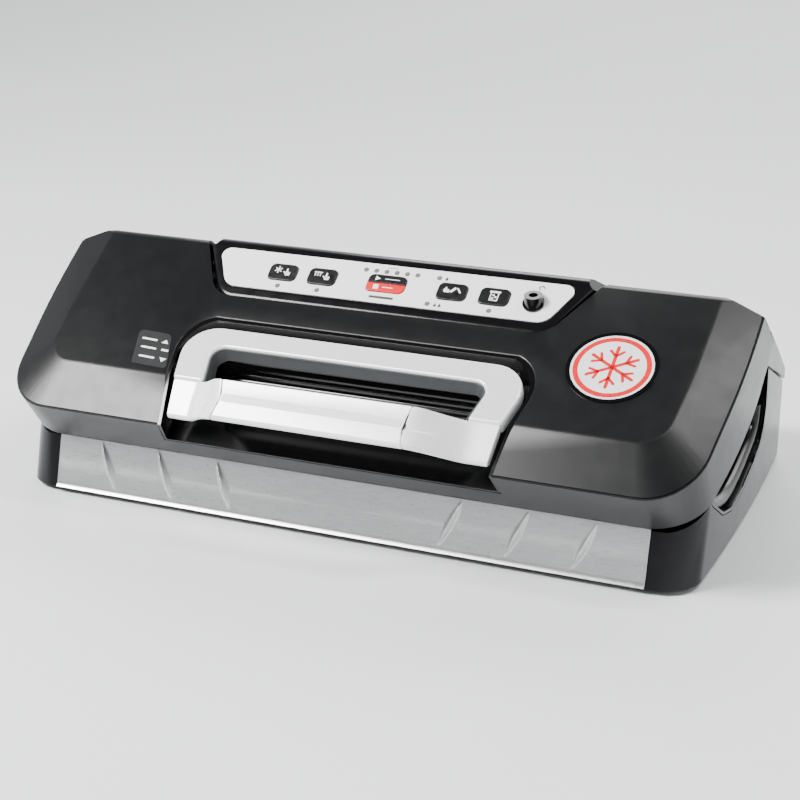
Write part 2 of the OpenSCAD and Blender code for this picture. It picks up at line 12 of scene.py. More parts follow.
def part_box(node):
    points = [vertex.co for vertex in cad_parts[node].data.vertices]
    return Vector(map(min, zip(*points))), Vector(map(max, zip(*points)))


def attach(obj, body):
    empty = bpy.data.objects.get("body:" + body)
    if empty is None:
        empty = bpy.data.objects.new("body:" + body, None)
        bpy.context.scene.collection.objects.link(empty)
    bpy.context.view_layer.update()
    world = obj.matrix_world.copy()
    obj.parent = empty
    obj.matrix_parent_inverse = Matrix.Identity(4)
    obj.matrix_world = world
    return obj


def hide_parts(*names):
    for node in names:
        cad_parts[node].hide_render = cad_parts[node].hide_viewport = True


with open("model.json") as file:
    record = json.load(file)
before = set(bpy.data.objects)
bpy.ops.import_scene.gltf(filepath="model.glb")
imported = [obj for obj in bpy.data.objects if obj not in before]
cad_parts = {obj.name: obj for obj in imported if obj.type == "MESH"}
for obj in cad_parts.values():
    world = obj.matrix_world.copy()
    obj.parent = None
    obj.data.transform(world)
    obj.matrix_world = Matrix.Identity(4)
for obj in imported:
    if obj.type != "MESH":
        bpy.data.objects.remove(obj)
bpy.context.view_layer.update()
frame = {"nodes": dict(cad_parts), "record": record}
nodes = frame["nodes"]
MM = 0.001

# ---- measures taken from the frame ------------------------------------------------------
lid_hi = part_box("lid_cover")[1] / MM
frame_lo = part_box("lid_frame")[0] / MM
plate_lo, plate_hi = [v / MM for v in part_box("front_plate")]
pin_lo, pin_hi = [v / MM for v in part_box("hinge_pins")]
HALF = lid_hi.x
NOSE_Y = frame_lo.y
HINGE = ((pin_lo.y + pin_hi.y) / 2, (pin_lo.z + pin_hi.z) / 2)

# ---- the lid's form, as in the CAD source -------------------------------------------------
WALL = 3.0
CREST = (-7.0, 158.2)
CREASE_Y = -114.6
NOSE_Z = 67.9
TOP_ANGLE = math.radians(30.6)
REAR_ANGLE = math.radians(32.8)
DECK_ANGLE = math.radians(18.8)
PANEL_ANGLE = math.radians(36.4)
PANEL_MID = (-28.15, 146.1)
WIDEST_Y = -10.6
SIDE_R = 547.0
TOP_SIDE_R = 676.0
TOP_HALF = 220.0
NOSE_CORNER = 36.0
TOP_CORNER = 19.0
PART_SLOPE = 0.6282
PART_Y = -10.0
FOOT_Y = -116.7
RIM_Z = 39.6
SKIRT_Z = 41.6
SKIRT_IN = 4.0
SKIRT_END_Y = 33.0
BARREL_R = 9.0
BARREL_HALF = 240.0
GROOVE = 1.1
BODY_GAP = 2.5
PART_Z = NOSE_Z + PART_SLOPE * (PART_Y - NOSE_Y)


def top_z(y):
    return CREST[1] + math.tan(TOP_ANGLE) * (y - CREST[0])


def roof_z(y):
    return CREST[1] - math.tan(REAR_ANGLE) * (y - CREST[0])


def rim_z(y):
    return RIM_Z + math.tan(DECK_ANGLE) * (y - FOOT_Y)


def tilted(y, z, angle):
    """A local frame at (y, z) whose +Y runs up the slope and whose +Z stands off it."""
    return Matrix.Translation((0, y, z)) @ Matrix.Rotation(angle, 4, "X")


ON_TOP = tilted(CREASE_Y, top_z(CREASE_Y), TOP_ANGLE)
ON_PANEL = tilted(PANEL_MID[0], PANEL_MID[1], PANEL_ANGLE)


# ---- outlines ---------------------------------------------------------------------------
def fillet(a, b, c, r, n):
    """The corner b of an outline, rounded to radius r."""
    a, b, c = Vector(a), Vector(b), Vector(c)
    if r == 0:
        return [tuple(b)]
    u, v = (a - b).normalized(), (c - b).normalized()
    half = math.acos(max(-1, min(1, u.dot(v)))) / 2
    mid = b + (u + v).normalized() * r / math.sin(half)
    s, e = b + u * r / math.tan(half) - mid, b + v * r / math.tan(half) - mid
    start = math.atan2(s.y, s.x)
    turn = math.atan2(s.x * e.y - s.y * e.x, s.dot(e))
    return [
        (mid.x + r * math.cos(start + turn * i / n), mid.y + r * math.sin(start + turn * i / n))
        for i in range(n + 1)
    ]


def rounded(points, radii, n=10):
    count = len(points)
    out = []
    for i in range(count):
        out += fillet(points[i - 1], points[i], points[(i + 1) % count], radii[i], n)
    return out


def mirrored(points):
    return list(points) + [(-x, y) for x, y in reversed(points)]


def capsule(a, b, r, n=8):
    """A straight stroke of half width r with round ends."""
    turn = math.atan2(b[1] - a[1], b[0] - a[0])
    out = []
    for centre, start in ((b, turn - math.pi / 2), (a, turn + math.pi / 2)):
        for i in range(n + 1):
            t = start + math.pi * i / n
            out.append((centre[0] + r * math.cos(t), centre[1] + r * math.sin(t)))
    return out


def drop(x, y, r, n=12):
    """A drop of radius r, its tip up."""
    ring = [(x + r * math.cos(t), y + r * math.sin(t))
        for t in (math.radians(150 + 240 * i / n) for i in range(n + 1))]
    return ring + [(x, y + 2.1 * r)]


def spline(points, n):
    """A smooth curve through the given points, n steps between each pair."""
    out = []
    for i in range(len(points) - 1):
        a, b = Vector(points[i]), Vector(points[i + 1])
        before = Vector(points[max(i - 1, 0)])
        after = Vector(points[min(i + 2, len(points) - 1)])
        ta, tb = (b - before) / 2, (after - a) / 2
        for j in range(n):
            t = j / n
            out.append(tuple(a * (2 * t ** 3 - 3 * t ** 2 + 1) + ta * (t ** 3 - 2 * t ** 2 + t)
                + b * (3 * t ** 2 - 2 * t ** 3) + tb * (t ** 3 - t ** 2)))
    return out + [tuple(points[-1])]


def near_outline(p, outline, reach):
    """True where a point lies within reach of a closed outline."""
    for i in range(len(outline)):
        a, b = Vector(outline[i - 1]), Vector(outline[i])
        along = b - a
        t = max(0.0, min(1.0, (p - a).dot(along) / max(along.length_squared, 1e-9)))
        if (a + along * t - p).length < reach:
            return True
    return False


def box_outline(w, h, r, n=6):
    return rounded([(-w / 2, -h / 2), (w / 2, -h / 2), (w / 2, h / 2), (-w / 2, h / 2)], [r] * 4, n)


def circle_outline(r, n=64, at=(0, 0)):
    return [
        (at[0] + r * math.cos(math.tau * i / n), at[1] + r * math.sin(math.tau * i / n))
        for i in range(n)
    ]


def plan(w, mid, side_r, y0, y1, r0, r1=0, steps=16, corner=12):
    """Plan outline with bowed sides, and corners of radius r0 in front and r1 at the rear."""
    def bulge(y):
        return w - (y - mid) ** 2 / (2 * side_r)
    front, back = bulge(y0 + r0) - r0, bulge(y1 - r1) - r1
    right = []
    for i in range(corner if r0 else 0):
        a = -math.pi / 2 + math.pi / 2 * i / corner
        right.append((front + r0 * math.cos(a), y0 + r0 + r0 * math.sin(a)))
    for i in range(steps + 1):
        y = y0 + r0 + (y1 - r1 - y0 - r0) * i / steps
        right.append((bulge(y), y))
    for i in range(1, corner + 1 if r1 else 0):
        a = math.pi / 2 * i / corner
        right.append((back + r1 * math.cos(a), y1 - r1 + r1 * math.sin(a)))
    return mirrored(right)


# ---- mesh helpers -----------------------------------------------------------------------
def new_object(name, bm):
    """Closes a bmesh in millimetres into a linked object in metres."""
    bmesh.ops.recalc_face_normals(bm, faces=bm.faces)
    bmesh.ops.scale(bm, vec=(MM, MM, MM), verts=bm.verts)
    mesh = bpy.data.meshes.new(name)
    bm.to_mesh(mesh)
    bm.free()
    obj = bpy.data.objects.new(name, mesh)
    bpy.context.scene.collection.objects.link(obj)
    return obj


def prism_bm(outline, z0, z1, bm=None, matrix=Matrix.Identity(4)):
    """An outline swept from z0 to z1 in a local frame."""
    bm = bm or bmesh.new()
    low = [bm.verts.new(matrix @ Vector((x, y, z0))) for x, y in outline]
    high = [bm.verts.new(matrix @ Vector((x, y, z1))) for x, y in outline]
    bm.faces.new(list(reversed(low)))
    bm.faces.new(high)
    for i in range(len(outline)):
        j = (i + 1) % len(outline)
        bm.faces.new((low[i], low[j], high[j], high[i]))
    return bm


ACROSS = Matrix(((0, 0, 1, 0), (1, 0, 0, 0), (0, 1, 0, 0), (0, 0, 0, 1)))


def across_bm(profile, x0, x1, bm=None):
    """A front-to-back profile of (y, z) points swept across the width."""
    return prism_bm(profile, x0, x1, bm, ACROSS)


def lofted(name, sections):
    """A closed solid through rings of points with equal counts."""
    bm = bmesh.new()
    rings = [[bm.verts.new(p) for p in section] for section in sections]
    for a, b in zip(rings, rings[1:]):
        for i in range(len(a)):
            j = (i + 1) % len(a)
            bm.faces.new((a[i], a[j], b[j], b[i]))
    bm.faces.new(list(reversed(rings[0])))
    bm.faces.new(rings[-1])
    return new_object(name, bm)


def apply_modifiers(obj):
    graph = bpy.context.evaluated_depsgraph_get()
    mesh = bpy.data.meshes.new_from_object(obj.evaluated_get(graph))
    old = obj.data
    obj.modifiers.clear()
    obj.data = mesh
    bpy.data.meshes.remove(old)


def combine(obj, tools, operation="DIFFERENCE"):
    """Cuts tools out of obj, or joins them to it, and removes them."""
    for tool in tools:
        mod = obj.modifiers.new("cut", "BOOLEAN")
        mod.operation = operation
        mod.solver = "EXACT"
        mod.object = tool
    bpy.context.view_layer.update()
    apply_modifiers(obj)
    for tool in tools:
        bpy.data.objects.remove(tool)
    return obj


def clean(obj, angle=0.6):
    """Merges flat regions into single faces, so that bevels run clean."""
    bm = bmesh.new()
    bm.from_mesh(obj.data)
    bmesh.ops.remove_doubles(bm, verts=bm.verts, dist=2e-6)
    bmesh.ops.dissolve_limit(
        bm, angle_limit=math.radians(angle), verts=bm.verts, edges=bm.edges, delimit={"NORMAL"})
    bm.to_mesh(obj.data)
    bm.free()
    return obj


def soften(obj, width, angle=30, segments=3):
    """Rounds every edge sharper than angle with a bevel, and shades smoothly."""
    for polygon in obj.data.polygons:
        polygon.use_smooth = True
    mod = obj.modifiers.new("edge_round", "BEVEL")
    mod.width = width * MM
    mod.segments = segments
    mod.limit_method = "ANGLE"
    mod.angle_limit = math.radians(angle)
    mod.harden_normals = True
    mod.use_clamp_overlap = True
    mod.miter_outer = "MITER_ARC"
    return obj


def finish_piece(obj, material, body, replaces=()):
    obj.data.materials.clear()
    obj.data.materials.append(material)
    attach(obj, body)
    if replaces:
        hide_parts(*replaces)
    return obj


# ---- materials --------------------------------------------------------------------------
class Shader:
    """A small builder for one Principled material."""

    def __init__(self, name, colour, roughness, metallic=0.0):
        self.name = name
        self.material = bpy.data.materials.new(name)
        self.material.use_nodes = True
        self.tree = self.material.node_tree
        self.bsdf = self.tree.nodes["Principled BSDF"]
        self.bsdf.inputs["Base Color"].default_value = (*colour, 1)
        self.bsdf.inputs["Roughness"].default_value = roughness
        self.bsdf.inputs["Metallic"].default_value = metallic
        self.colour = colour
        self.coords = self.tree.nodes.new("ShaderNodeTexCoord").outputs["Object"]
        self.normal = None

    def scaled(self, scale):
        node = self.tree.nodes.new("ShaderNodeMapping")
        node.inputs["Scale"].default_value = scale
        self.tree.links.new(self.coords, node.inputs["Vector"])
        return node.outputs["Vector"]

    def noise(self, scale, detail=2.0, stretch=(1, 1, 1), roughness=0.5):
        node = self.tree.nodes.new("ShaderNodeTexNoise")
        node.inputs["Scale"].default_value = scale
        node.inputs["Detail"].default_value = detail
        node.inputs["Roughness"].default_value = roughness
        self.tree.links.new(self.scaled(stretch), node.inputs["Vector"])
        return node.outputs["Fac"]

    def ramp(self, value, low, high, start=0.3, end=0.7):
        """Maps value between start and end to low and high."""
        node = self.tree.nodes.new("ShaderNodeMapRange")
        node.inputs["From Min"].default_value = start
        node.inputs["From Max"].default_value = end
        node.inputs["To Min"].default_value = low
        node.inputs["To Max"].default_value = high
        self.tree.links.new(value, node.inputs["Value"])
        return node.outputs["Result"]

    def vary_roughness(self, value, low, high):
        self.tree.links.new(self.ramp(value, low, high), self.bsdf.inputs["Roughness"])
        return self

    def vary_colour(self, value, dark, light):
        node = self.tree.nodes.new("ShaderNodeValToRGB")
        node.color_ramp.elements[0].position = 0.3
        node.color_ramp.elements[1].position = 0.7
        node.color_ramp.elements[0].color = (*dark, 1)
        node.color_ramp.elements[1].color = (*light, 1)
        self.tree.links.new(value, node.inputs["Fac"])
        self.tree.links.new(node.outputs["Color"], self.bsdf.inputs["Base Color"])
        return self

    def bump(self, value, distance, strength=1.0):
        node = self.tree.nodes.new("ShaderNodeBump")
        node.inputs["Distance"].default_value = distance * MM
        node.inputs["Strength"].default_value = strength
        self.tree.links.new(value, node.inputs["Height"])
        if self.normal:
            self.tree.links.new(self.normal, node.inputs["Normal"])
        self.normal = node.outputs["Normal"]
        self.tree.links.new(self.normal, self.bsdf.inputs["Normal"])
        return self

    def set(self, **values):
        for name, value in values.items():
            self.bsdf.inputs[name.replace("_", " ")].default_value = value
        return self


def shade(colour, factor):
    return tuple(c * factor for c in colour)


def grained(name, colour, roughness, grain=0.6, depth=0.03, spread=0.05, sheen=0.5):
    """Moulded plastic: fine grain in bump, with small drifts of colour and gloss."""
    s = Shader(name, colour, roughness)
    s.set(Specular_IOR_Level=sheen)
    s.vary_colour(s.noise(14, 2), shade(colour, 0.93), shade(colour, 1.08))
    s.vary_roughness(s.noise(90, 4), roughness - spread, roughness + spread)
    s.bump(s.noise(1000 / grain, 2, roughness=0.7), depth)
    return s


def polished(name, colour, roughness=0.14, metallic=0.0):
    """Glossy moulding or lacquer: faint waviness and a little dust in the gloss."""
    s = Shader(name, colour, roughness, metallic)
    s.vary_colour(s.noise(60, 2), shade(colour, 0.95), shade(colour, 1.05))
    s.vary_roughness(s.noise(240, 5), roughness * 0.85, roughness * 1.25)
    s.bump(s.noise(9, 1), 0.08, 0.25)
    return s


def metal(name, colour, roughness, stretch=(1, 1, 1), scale=900, depth=0.006, spread=0.05,
        metallic=1.0):
    """Bare or painted metal, brushed where stretch pulls the noise along one axis."""
    s = Shader(name, colour, roughness, metallic)
    lines = s.noise(scale, 3, stretch, 0.6)
    s.vary_roughness(lines, roughness - spread, roughness + spread)
    s.vary_colour(s.noise(scale * 0.4, 2, stretch), shade(colour, 0.93), shade(colour, 1.05))
    s.bump(lines, depth)
    return s


def steel():
    """Sheet with short brush marks along the width, over fine cloudy patches."""
    s = metal("brushed_steel", (0.56, 0.565, 0.565), 0.33, (0.12, 1, 1), 2200, 0.004, 0.07)
    s.bump(s.noise(260, 4), 0.03, 0.3)
    return s.set(Anisotropic=0.4)


def tape():
    s = Shader("tape_brown", (0.23, 0.13, 0.06), 0.45)
    weave = s.noise(2400, 1, (1, 0.2, 1))
    return s.vary_colour(weave, (0.16, 0.085, 0.035), (0.3, 0.18, 0.085)).bump(weave, 0.03)


def silver(name, colour, roughness, metallic, scale=1700, depth=0.004, stretch=(1, 1, 1)):
    return metal(name, colour, roughness, stretch, scale, depth, 0.04, metallic)


def make_materials():
    made = [
        grained("lid_black", (0.004, 0.0042, 0.0046), 0.34, 0.8, 0.02, 0.02, 0.36),
        grained("frame_grey", (0.016, 0.0165, 0.018), 0.3, 0.35, 0.006, 0.02, 0.42),
        grained("base_black", (0.0035, 0.0035, 0.004), 0.2, 0.4, 0.003, 0.03, 0.28),
        polished("gloss_black", (0.003, 0.003, 0.0033), 0.14),
        polished("key_black", (0.004, 0.004, 0.0045), 0.3),
        polished("red_plastic", (0.72, 0.012, 0.014), 0.3),
        polished("badge_white", (0.82, 0.82, 0.82), 0.25),
        polished("badge_red", (0.7, 0.01, 0.016), 0.25),
        polished("print_white", (0.88, 0.88, 0.88), 0.4),
        polished("print_grey", (0.05, 0.05, 0.052), 0.4),
        polished("lamp_clear", (0.16, 0.165, 0.17), 0.12),
        grained("label_grey", (0.017, 0.0175, 0.018), 0.34, 0.4, 0.006, 0.03),
        # Painted shade: the dark grey of the sleeve on the handle hole's inner wall, where the
        # silver wall stands in shade.
        grained("sleeve_shade_grey", (0.05, 0.053, 0.056), 0.38, 0.4, 0.006, 0.04),
        grained("deck_grey", (0.03, 0.031, 0.033), 0.42, 0.5, 0.02),
        grained("foam_grey", (0.045, 0.045, 0.05), 0.85, 0.9, 0.15),
        grained("rubber_black", (0.014, 0.014, 0.014), 0.7, 0.5, 0.03),
        grained("silicone_red", (0.36, 0.035, 0.02), 0.5, 0.5, 0.01),
        grained("ceramic_tan", (0.4, 0.36, 0.29), 0.6, 0.6, 0.03),
        grained("transformer_tape", (0.38, 0.24, 0.05), 0.45, 0.8, 0.03),
        polished("carriage_orange", (0.5, 0.1, 0.02), 0.3),
        polished("board_green", (0.015, 0.12, 0.045), 0.35),
        polished("hose_clear", (0.55, 0.55, 0.5), 0.3),
        metal("heating_metal", (0.6, 0.5, 0.36), 0.3, (0.05, 1, 1), 1500),
        metal("rail_aluminium", (0.66, 0.66, 0.67), 0.3, (0.03, 1, 1), 1300),
        metal("pin_steel", (0.5, 0.5, 0.51), 0.28, scale=1500),
        silver("silver_satin", (0.9, 0.905, 0.91), 0.34, 0.3, 2400, 0.006),
        silver("silver_bright", (0.98, 0.98, 0.98), 0.22, 0.1, 2600, 0.002),
        silver("grip_band", (0.8, 0.805, 0.81), 0.4, 0.35, 2000, 0.004, (0.05, 1, 1)),
        silver("panel_silver", (0.95, 0.955, 0.96), 0.34, 0.1, 2600, 0.003),
        steel(),
        tape(),
    ]
    return {s.name: s.material for s in made}


MATERIALS = make_materials()


# ---- CAD nodes that stay: finer edges and a finished surface ------------------------------
OWN_FINISH = {"label_plate": "label_grey", "pivot_shafts": "rubber_black",
    "status_bar": "print_grey", "indicator_lamps": "lamp_clear"}


def finish_cad_nodes():
    slots = {s["node"]: s["material_slot"] for s in frame["record"]["subparts"]}
    for name, obj in nodes.items():
        obj.data.materials.clear()
        obj.data.materials.append(MATERIALS[OWN_FINISH.get(name, slots[name])])
        size = min(obj.dimensions) / MM
        flat = obj.modifiers.new("flat_faces", "DECIMATE")
        flat.decimate_type = "DISSOLVE"
        flat.angle_limit = math.radians(0.5)
        if size > 1.2:
            soften(obj, min(0.8, size * 0.08), 32, 2)


finish_cad_nodes()


# ---- lid --------------------------------------------------------------------------------
HINGE_X = 186.0


def slice_points(outline, slope, y, z):
    return [Vector((px, py, z + slope * (py - y))) for px, py in outline]


def lid_hull(t, drop):
    """Corner points of the lid's convex form, drawn in by t and open below by drop."""
    deck, rear, top = math.tan(DECK_ANGLE), -math.tan(REAR_ANGLE), math.tan(TOP_ANGLE)
    points = slice_points(plan(HALF - SKIRT_IN - t, WIDEST_Y, SIDE_R, FOOT_Y + t, SKIRT_END_Y,
        NOSE_CORNER - t), deck, FOOT_Y, SKIRT_Z - drop)
    points += slice_points(plan(HALF - t, WIDEST_Y, SIDE_R, NOSE_Y + 1.3 * t, PART_Y,
        NOSE_CORNER - t), PART_SLOPE, NOSE_Y, NOSE_Z)
    points += slice_points(plan(HALF - t, WIDEST_Y, SIDE_R, PART_Y, HINGE[0] - 2, 0), rear,
        PART_Y, PART_Z)
    points += slice_points(plan(TOP_HALF - t / 2, WIDEST_Y, TOP_SIDE_R, CREASE_Y + t / 2,
        CREST[0], TOP_CORNER), top, CREASE_Y, top_z(CREASE_Y) - t / math.cos(TOP_ANGLE))
    points += slice_points(plan(TOP_HALF - t / 2, WIDEST_Y, TOP_SIDE_R, CREST[0], HINGE[0], 0),
        rear, CREST[0], CREST[1] - t / math.cos(REAR_ANGLE))
    r = BARREL_R - t
    for x in (-BARREL_HALF + t, BARREL_HALF - t):
        for i in range(48):
            a = math.tau * i / 48
            points.append(Vector((x, HINGE[0] + r * math.cos(a), HINGE[1] + r * math.sin(a))))
    return points


def hull_bm(points):
    bm = bmesh.new()
    for p in points:
        bm.verts.new(p)
    made = bmesh.ops.convex_hull(bm, input=bm.verts)
    loose = [g for g in made["geom_interior"] + made["geom_unused"]
        if isinstance(g, bmesh.types.BMVert)]
    bmesh.ops.delete(bm, geom=list({v for v in loose if v.is_valid}), context="VERTS")
    bmesh.ops.dissolve_limit(bm, angle_limit=math.radians(0.8), verts=bm.verts, edges=bm.edges)
    return bm


def round_creases(bm, crease_width, crest_width):
    """Rounds the crest, then the creases between the top, the front and the side facets."""
    def turned(e):
        return len(e.link_faces) == 2 and math.degrees(e.calc_face_angle(0)) > 11
    def on_top(e):
        return all(v.co.z > roof_z(v.co.y) - 4 or v.co.z > top_z(v.co.y) - 4 for v in e.verts)
    crest = [e for e in bm.edges if turned(e) and all(
        abs(v.co.y - CREST[0]) < 1.5 and v.co.z > CREST[1] - 3 for v in e.verts)]
    bmesh.ops.bevel(bm, geom=crest, offset=crest_width, segments=6, profile=0.5,
        affect="EDGES", clamp_overlap=True)
    bm.normal_update()
    creases = [e for e in bm.edges if turned(e) and on_top(e) and e.verts[0].co.y < HINGE[0] - 8
        and e.calc_length() > 0.01]
    bmesh.ops.bevel(bm, geom=creases, offset=crease_width, segments=4, profile=0.5,
        affect="EDGES", clamp_overlap=True)


def console_outline(g):
    return rounded([(-145 + g, 90), (-145 + g, CREST[0]), (-118 + g * 0.75, -50 + g),
        (118 - g * 0.75, -50 + g), (145 - g, CREST[0]), (145 - g, 90)],
        [0, 6, 20 - g, 20 - g, 6, 0])


WELL_FRONT, WELL_REAR = (112.2, -140.0), (127.6, -68.6)
WELL_CORNER = 25.0
WELL_GAP = 2.2
WELL_FLOOR = ((-70.5, 92.0), (-125.3, 55.7))


def well_outline(g):
    return mirrored(rounded([(0, WELL_FRONT[1]), (WELL_FRONT[0] + g, WELL_FRONT[1]),
        (WELL_REAR[0] + g, WELL_REAR[1] + g), (0, WELL_REAR[1] + g)], [0, 0, WELL_CORNER, 0]))


def well_profile(g):
    return [(WELL_REAR[1] + g, 200), (WELL_FLOOR[0][0] + g, WELL_FLOOR[0][1] - g),
        (WELL_FLOOR[1][0], WELL_FLOOR[1][1] - g - 0.5), (WELL_FRONT[1], 45.2 - g),
        (WELL_FRONT[1], 200)]


def well_tool(name, g):
    tool = new_object(name, prism_bm(well_outline(g), 0, 200))
    side = new_object(name + "_side", across_bm(well_profile(g), -200, 200))
    return combine(tool, [side], "INTERSECT")


def parting_tool(name, lift, far):
    """Everything between the parting line, raised by lift, and the height far."""
    def line(y):
        slope = PART_SLOPE if y < PART_Y else -math.tan(REAR_ANGLE)
        return PART_Z + slope * (y - PART_Y) + lift
    profile = [(-200, line(-200)), (PART_Y, line(PART_Y)), (90, line(90)), (90, far), (-200, far)]
    return new_object(name, across_bm(profile, -300, 300))


def round_rims(obj):
    """Chamfers the rims of the console opening and of the handle well in the lid."""
    bm = bmesh.new()
    bm.from_mesh(obj.data)
    for outline, width, cut in ((console_outline(0), 1.9, 3.5), (well_outline(WELL_GAP), 1.0, 1.4)):
        def on_rim(v):
            p = v.co / MM
            over = min(top_z(p.y), roof_z(p.y)) - p.z
            return over < cut and near_outline(Vector((p.x, p.y)), outline, 0.25)
        rim = [e for e in bm.edges if e.is_manifold and all(on_rim(v) for v in e.verts)
            and (e.verts[0].co - e.verts[1].co).xy.length > 1e-5
            and 30 < math.degrees(e.calc_face_angle(0)) < 150]
        bmesh.ops.bevel(bm, geom=rim, offset=width * MM, segments=3, profile=0.5,
            affect="EDGES", clamp_overlap=True)
    bm.to_mesh(obj.data)
    bm.free()
    return obj


def lid_shell(name):
    bm = hull_bm(lid_hull(0, 0))
    round_creases(bm, 5.0, 6.0)
    shell = new_object(name, bm)
    hollow = new_object("hollow", hull_bm(lid_hull(WALL, 6)))
    column = new_object("column", prism_bm(console_outline(0), 0, 300))
    knuckles = [new_object("knuckle", across_bm(circle_outline(12, 48, HINGE), x - 12.3, x + 12.3))
        for x in (-HINGE_X, HINGE_X)]
    return combine(shell, [hollow, column, well_tool("well", WELL_GAP)] + knuckles)


def make_lid():
    cover = combine(lid_shell("lid_cover_shell"), [parting_tool("low", GROOVE / 2, -20)])
    soften(round_rims(clean(cover)), 0.6, 40, 3)
    finish_piece(cover, MATERIALS["lid_black"], "lid", ["lid_cover"])
    band = combine(lid_shell("lid_frame_band"), [parting_tool("high", -GROOVE / 2, 300)])
    soften(clean(band), 0.9, 40, 3)
    finish_piece(band, MATERIALS["frame_grey"], "lid", ["lid_frame"])


make_lid()


# ---- handle well with its ribbed floor ----------------------------------------------------
PIVOT = (-81.0, 104.0)


def make_well():
    tray = well_tool("handle_tray", WELL_GAP)
    outer = new_object("outer", hull_bm(lid_hull(0.25, 0)))
    combine(tray, [outer], "INTERSECT")
    combine(tray, [well_tool("inside", 0.0)])
    pins = [new_object("pin", across_bm(circle_outline(4.4, 40, PIVOT), x - 20, x + 20))
        for x in (-120, 120)]
    combine(tray, pins)
    soften(clean(tray), 0.6, 40, 3)
    finish_piece(tray, MATERIALS["gloss_black"], "lid", ["handle_well"])
    bm = bmesh.new()
    (y0, z0), (y1, z1) = WELL_FLOOR
    for i in range(9):
        f = 0.06 + 0.62 * i / 8
        y, z = y0 + (y1 - y0) * f, z0 + (z1 - z0) * f
        half = 107 - 6 * f
        ring = [(y - 1.1, z - 1.2), (y + 1.1, z + 0.3), (y + 0.7, z + 1.5), (y - 0.1, z + 2.0),
            (y - 0.9, z + 1.1)]
        across_bm(ring, -half, half, bm)
    ribs = soften(new_object("well_ribs", bm), 0.35, 30, 2)
    finish_piece(ribs, MATERIALS["gloss_black"], "lid")


make_well()


# ---- handle -----------------------------------------------------------------------------
LOOP = mirrored(rounded([(0, -2.6), (113.4, -2.6), (123.5, 44.4), (0, 44.4)], [0, 0, 22, 0]))


def hole_outline(g):
    return mirrored(rounded([(0, -4 + g), (91 - g, -4 + g), (97.5 - g, 28 - g), (0, 28 - g)],
        [0, 0, 9 - g / 2, 0]))


def make_handle_frame():
    loop = new_object("handle_loop", prism_bm(LOOP, -7.5, 2.2, matrix=ON_TOP))
    combine(loop, [new_object("hole", prism_bm(hole_outline(0), -30, 30, matrix=ON_TOP))])
    soften(clean(loop), 2.1, 40, 5)
    finish_piece(loop, MATERIALS["silver_satin"], "handle", ["handle_frame"])
    # Painted shade: a dark grey sleeve covers the silver inner wall of the hole and stands in for
    # the shade that falls there.
    shade_sleeve = new_object("handle_shade_sleeve", prism_bm(hole_outline(0.15), -7.2, 0.9, matrix=ON_TOP))
    bm = bmesh.new()
    top, low = hole_outline(0.9), hole_outline(3.6)
    upper = [bm.verts.new(ON_TOP @ Vector((x, y, 1.2))) for x, y in top]
    lower = [bm.verts.new(ON_TOP @ Vector((x, y, -7.6))) for x, y in low]
    bm.faces.new(upper)
    bm.faces.new(list(reversed(lower)))
    for i in range(len(top)):
        j = (i + 1) % len(top)
        bm.faces.new((upper[i], lower[i], lower[j], upper[j]))
    combine(shade_sleeve, [new_object("taper", bm)])
    soften(clean(shade_sleeve), 0.3, 40, 2)
    finish_piece(shade_sleeve, MATERIALS["sleeve_shade_grey"], "handle")


BAR = [(-139.5, 106.9), (-145.6, 99.9), (-150.2, 96.4), (-157.4, 88.9), (-157.5, 86.9),
    (-156.4, 85.2), (-150.5, 84.6), (-144.0, 91.0), (-137.2, 98.4), (-136.6, 104.5)]
END = [(-117.3, 93.6), (-121.6, 88.4), (-124.6, 84.8), (-132.6, 74.9), (-132.5, 73.0),
    (-131.2, 71.4), (-127.0, 71.0), (-121.0, 77.5), (-114.2, 85.5), (-113.4, 91.0)]
SEAM_X = 62.0
SEAM_GAP = 0.35
SEAM_LEAN = 5.4
NOTCH = 2.8
END_X = 97.0
SIDE_X = 112.6


def smooth(t):
    t = max(0.0, min(1.0, t))
    return t * t * (3 - 2 * t)


def grip_section(x):
    """The grip's section at x: a faceted bar that sweeps back into the flat ends."""
    f = smooth((abs(x) - SEAM_X) / (END_X - SEAM_X))
    ring = [(a[0] + (b[0] - a[0]) * f, a[1] + (b[1] - a[1]) * f) for a, b in zip(BAR, END)]
    notch = max(0.0, 1 - (abs(x) - SEAM_X) / 22) if abs(x) >= SEAM_X else 0.0
    if notch:
        for i, d in ((1, 0.5), (2, NOTCH)):
            ring[i] = (ring[i][0] + 0.75 * d * notch, ring[i][1] - 0.66 * d * notch)
        ring.insert(3, (ring[2][0] - 0.75 * NOTCH * notch - 0.3,
            ring[2][1] + 0.66 * NOTCH * notch - 0.9))
    else:
        ring.insert(3, (ring[2][0] - 0.3, ring[2][1] - 0.3))
    return ring


def loft_x(name, stations):
    """A closed solid through sections at the given x places."""
    return lofted(name, [[(x, y, z) for y, z in section] for x, section in stations])


def seam_shift(v, fade=1):
    """How far a vertex moves outward, so that the seam slants with the bar's height."""
    depth = (BAR[0][1] - v.co.z / MM) / (BAR[0][1] - BAR[4][1])
    return math.copysign(MM * SEAM_LEAN * (0.5 - depth) * fade, v.co.x)


def make_grip_bar():
    section = grip_section(0)
    reach = SEAM_X - SEAM_GAP
    middle = loft_x("grip_bar", [(-reach, section), (reach, section)])
    for v in middle.data.vertices:
        v.co.x += seam_shift(v)
    soften(middle, 0.55, 12, 3)
    finish_piece(middle, MATERIALS["silver_bright"], "handle", ["handle_grip"])


